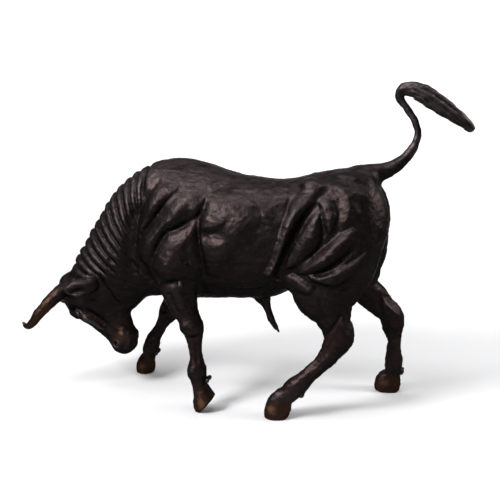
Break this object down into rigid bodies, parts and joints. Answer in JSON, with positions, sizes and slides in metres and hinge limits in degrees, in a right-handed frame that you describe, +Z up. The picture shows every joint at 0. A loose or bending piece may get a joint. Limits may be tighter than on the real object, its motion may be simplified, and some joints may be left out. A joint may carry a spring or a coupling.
{
  "type": "bull sculpture",
  "caption": "Life-size cast bronze bull, head lowered to charge, one forefoot pawing, neck in heavy folds and tail lashed up over the rump.",
  "frame": {"origin": "on the ground, under the middle of the figure's footprint box", "axes": "-X the way the bull faces, -Y its left side, +Z up"},
  "size_m": [2.5018, 0.6994, 1.8157],
  "materials": {
    "bronze": "dark brown chemical patina, waxed"
  },
  "bodies": {
    "root": {"bull": "bronze"}
  },
  "joints": []
}
